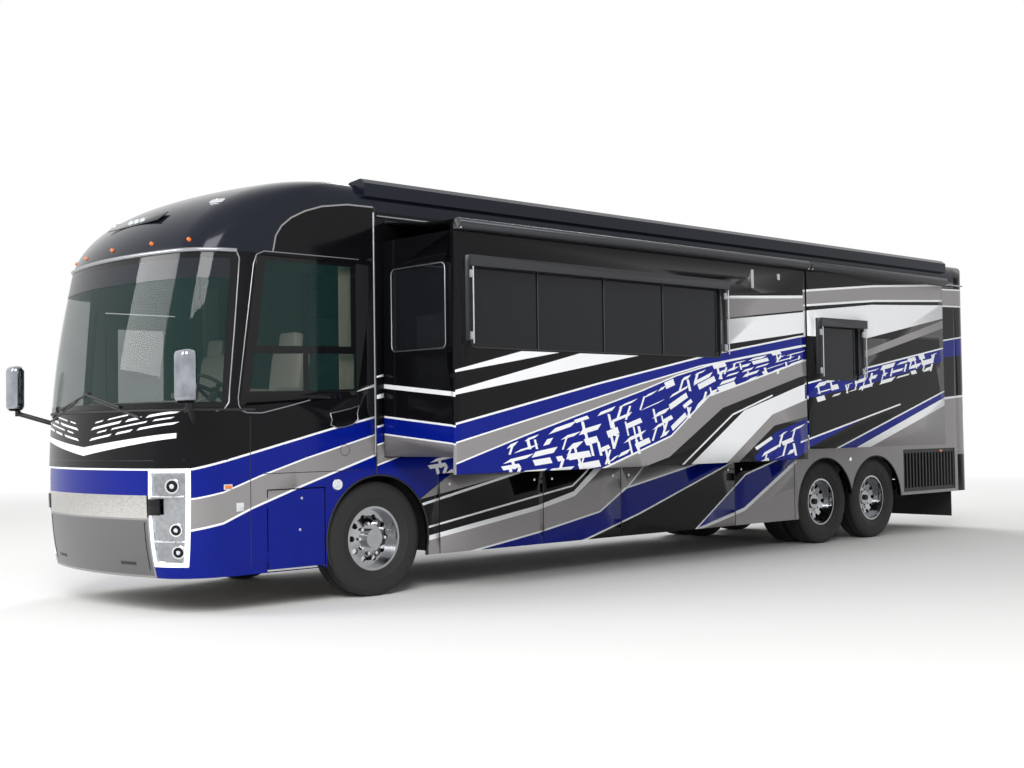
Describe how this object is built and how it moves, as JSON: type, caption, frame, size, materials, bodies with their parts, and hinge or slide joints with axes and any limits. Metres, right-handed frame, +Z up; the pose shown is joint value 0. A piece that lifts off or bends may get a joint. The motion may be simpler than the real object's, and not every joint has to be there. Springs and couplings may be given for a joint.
{
  "type": "motorhome",
  "caption": "Rear-engined coach motorhome with tag axle, slide-out rooms shown extended, steering front wheels, baggage doors and roof housings.",
  "frame": {"origin": "on the floor, at the middle of the overall length and width", "axes": "+Z up, front of the coach faces -Y, the driver's (left) side is +X; +Y is the long axis"},
  "size_m": [4.8018, 13.0055, 3.9903],
  "materials": {
    "painted_black": "high-gloss clear coat",
    "painted_steel": "satin chassis paint",
    "cast_axle": "painted casting",
    "tinted_glass": "polished tinted",
    "clear_glass": "polished",
    "lamp_lens": "clear lens",
    "tail_lens": "moulded lens",
    "chrome": "polished",
    "polished_aluminium": "polished",
    "tyre": "moulded rubber",
    "rubber": "matt",
    "grey_plastic": "grained",
    "black_plastic": "grained",
    "white_plastic": "moulded",
    "cream_leather": "grained",
    "engine_paint": "machine enamel",
    "trim_wood": "satin"
  },
  "bodies": {
    "coach": {"chassis_frame": "painted_steel", "floor_deck": "trim_wood", "basement": "grey_plastic", "entry_steps": "black_plastic", "front_cap": "painted_black", "windshield": "clear_glass", "side_wall_left": "painted_black", "side_wall_right": "painted_black", "roof_panel": "white_plastic", "rear_cap": "painted_black", "window_glass": "tinted_glass", "roof_fairings": "painted_black", "air_conditioners": "white_plastic", "headlamps": "lamp_lens", "nose_band": "chrome", "bumper_panel": "grey_plastic", "tail_lamps": "tail_lens", "mirrors": "chrome", "wipers": "black_plastic", "dashboard": "grey_plastic", "steering_wheel": "black_plastic", "seats": "cream_leather", "engine": "engine_paint", "front_axle": "cast_axle", "drive_axle": "cast_axle", "tag_axle": "cast_axle", "radiator_grille": "black_plastic", "mud_flap": "rubber"},
    "knuckle_left": {"knuckle_left": "cast_axle"},
    "knuckle_right": {"knuckle_right": "cast_axle"},
    "wheel_front_left": {"rim_front_left": "polished_aluminium", "tyre_front_left": "tyre"},
    "wheel_front_right": {"rim_front_right": "polished_aluminium", "tyre_front_right": "tyre"},
    "wheel_drive_left": {"rim_drive_left": "polished_aluminium", "tyre_drive_left": "tyre"},
    "wheel_drive_right": {"rim_drive_right": "polished_aluminium", "tyre_drive_right": "tyre"},
    "wheel_tag_left": {"rim_tag_left": "polished_aluminium", "tyre_tag_left": "tyre"},
    "wheel_tag_right": {"rim_tag_right": "polished_aluminium", "tyre_tag_right": "tyre"},
    "slide_front_left": {"slide_front_left": "painted_black", "slide_glass_front_left": "tinted_glass"},
    "slide_rear_left": {"slide_rear_left": "painted_black", "slide_glass_rear_left": "tinted_glass"},
    "slide_right": {"slide_right": "painted_black", "slide_glass_right": "tinted_glass"},
    "entry_door": {"entry_door": "painted_black", "entry_glass": "tinted_glass"},
    "bay_door_left_1": {"bay_door_left_1": "painted_black"},
    "bay_door_left_2": {"bay_door_left_2": "painted_black"},
    "bay_door_left_3": {"bay_door_left_3": "painted_black"},
    "bay_door_left_4": {"bay_door_left_4": "painted_black"},
    "bay_door_right_1": {"bay_door_right_1": "painted_black"},
    "bay_door_right_2": {"bay_door_right_2": "painted_black"},
    "bay_door_right_3": {"bay_door_right_3": "painted_black"},
    "bay_door_right_4": {"bay_door_right_4": "painted_black"},
    "service_door": {"service_door": "painted_black"},
    "rear_hatch": {"rear_hatch": "painted_black"}
  },
  "joints": [
    {"name": "steer_left", "type": "hinge", "parent": "coach", "child": "knuckle_left", "pos_m": [0.9, -4.27, 0.525], "axis": [0, 0, 1], "range_deg": [-38, 38]},
    {"name": "steer_right", "type": "hinge", "parent": "coach", "child": "knuckle_right", "pos_m": [-0.9, -4.27, 0.525], "axis": [0, 0, 1], "range_deg": [-38, 38]},
    {"name": "spin_front_left", "type": "hinge", "parent": "knuckle_left", "child": "wheel_front_left", "pos_m": [1.09, -4.27, 0.525], "axis": [1, 0, 0], "continuous": true},
    {"name": "spin_front_right", "type": "hinge", "parent": "knuckle_right", "child": "wheel_front_right", "pos_m": [-1.09, -4.27, 0.525], "axis": [1, 0, 0], "continuous": true},
    {"name": "spin_drive_left", "type": "hinge", "parent": "coach", "child": "wheel_drive_left", "pos_m": [1.09, 2.81, 0.525], "axis": [1, 0, 0], "continuous": true},
    {"name": "spin_drive_right", "type": "hinge", "parent": "coach", "child": "wheel_drive_right", "pos_m": [-1.09, 2.81, 0.525], "axis": [1, 0, 0], "continuous": true},
    {"name": "spin_tag_left", "type": "hinge", "parent": "coach", "child": "wheel_tag_left", "pos_m": [1.09, 3.975, 0.525], "axis": [1, 0, 0], "continuous": true},
    {"name": "spin_tag_right", "type": "hinge", "parent": "coach", "child": "wheel_tag_right", "pos_m": [-1.09, 3.975, 0.525], "axis": [1, 0, 0], "continuous": true},
    {"name": "slide_front_left_travel", "type": "slide", "parent": "coach", "child": "slide_front_left", "axis": [1, 0, 0], "range_m": [-0.97, 0]},
    {"name": "slide_rear_left_travel", "type": "slide", "parent": "coach", "child": "slide_rear_left", "axis": [1, 0, 0], "range_m": [-0.97, 0]},
    {"name": "slide_right_travel", "type": "slide", "parent": "coach", "child": "slide_right", "axis": [-1, 0, 0], "range_m": [-0.97, 0]},
    {"name": "entry_door_swing", "type": "hinge", "parent": "coach", "child": "entry_door", "pos_m": [-1.285, -5.67, 1.5], "axis": [0, 0, 1], "range_deg": [0, 100]},
    {"name": "bay_door_left_1_swing", "type": "hinge", "parent": "coach", "child": "bay_door_left_1", "pos_m": [1.285, -3.555, 0.7], "axis": [0, 0, 1], "range_deg": [-95, 0]},
    {"name": "bay_door_left_2_swing", "type": "hinge", "parent": "coach", "child": "bay_door_left_2", "pos_m": [1.285, -2.185, 0.7], "axis": [0, 0, 1], "range_deg": [-95, 0]},
    {"name": "bay_door_left_3_swing", "type": "hinge", "parent": "coach", "child": "bay_door_left_3", "pos_m": [1.285, -1.02, 0.7], "axis": [0, 0, 1], "range_deg": [-95, 0]},
    {"name": "bay_door_left_4_swing", "type": "hinge", "parent": "coach", "child": "bay_door_left_4", "pos_m": [1.285, 0.95, 0.7], "axis": [0, 0, 1], "range_deg": [-95, 0]},
    {"name": "bay_door_right_1_swing", "type": "hinge", "parent": "coach", "child": "bay_door_right_1", "pos_m": [-1.285, -3.555, 0.7], "axis": [0, 0, 1], "range_deg": [0, 95]},
    {"name": "bay_door_right_2_swing", "type": "hinge", "parent": "coach", "child": "bay_door_right_2", "pos_m": [-1.285, -2.185, 0.7], "axis": [0, 0, 1], "range_deg": [0, 95]},
    {"name": "bay_door_right_3_swing", "type": "hinge", "parent": "coach", "child": "bay_door_right_3", "pos_m": [-1.285, -1.02, 0.7], "axis": [0, 0, 1], "range_deg": [0, 95]},
    {"name": "bay_door_right_4_swing", "type": "hinge", "parent": "coach", "child": "bay_door_right_4", "pos_m": [-1.285, 0.95, 0.7], "axis": [0, 0, 1], "range_deg": [0, 95]},
    {"name": "service_door_swing", "type": "hinge", "parent": "coach", "child": "service_door", "pos_m": [1.285, -5.455, 0.66], "axis": [0, 0, 1], "range_deg": [-90, 0]},
    {"name": "rear_hatch_lift", "type": "hinge", "parent": "coach", "child": "rear_hatch", "pos_m": [0, 6.5, 1.795], "axis": [1, 0, 0], "range_deg": [0, 75]}
  ],
  "couplings": [
    {"joint": "steer_right", "follows": "steer_left", "ratio": 1}
  ]
}
